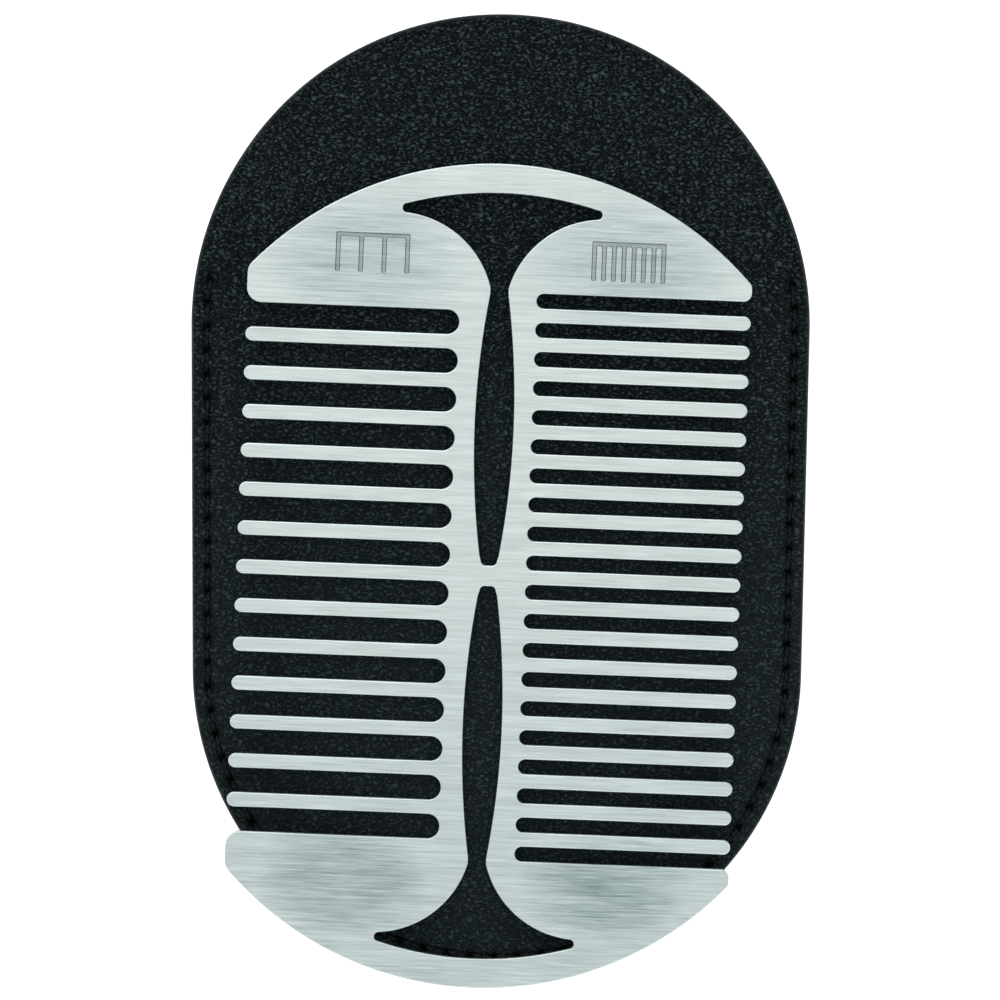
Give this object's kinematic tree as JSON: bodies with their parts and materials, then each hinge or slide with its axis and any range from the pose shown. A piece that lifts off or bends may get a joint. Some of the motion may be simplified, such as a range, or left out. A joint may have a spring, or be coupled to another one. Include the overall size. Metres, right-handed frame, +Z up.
{
  "type": "beard comb",
  "caption": "Flat steel plate comb with coarse teeth on one side and fine teeth on the other, lying on its sewn black leather slip case.",
  "frame": {"origin": "centre of the slip case's flat back, which rests on the surface", "axes": "+Z up out of the front of the case, +Y along the case towards its mouth, +X to the right, on the comb's fine-toothed side"},
  "size_m": [0.064, 0.1005, 0.0061],
  "materials": {
    "steel": "brushed along the teeth, with polished edges",
    "leather": "fine-grained, semi-matt",
    "lining": "matt, short-napped",
    "thread": "waxed"
  },
  "bodies": {
    "case": {"front_panel": "leather", "back_panel": "leather", "front_lining": "lining", "back_lining": "lining", "needle_thread": "thread", "bobbin_thread": "thread"},
    "comb": {"comb_plate": "steel"}
  },
  "joints": [
    {"name": "comb_lift", "type": "slide", "parent": "case", "child": "comb", "axis": [0, 0, 1], "range_m": [0, 0.05]}
  ]
}
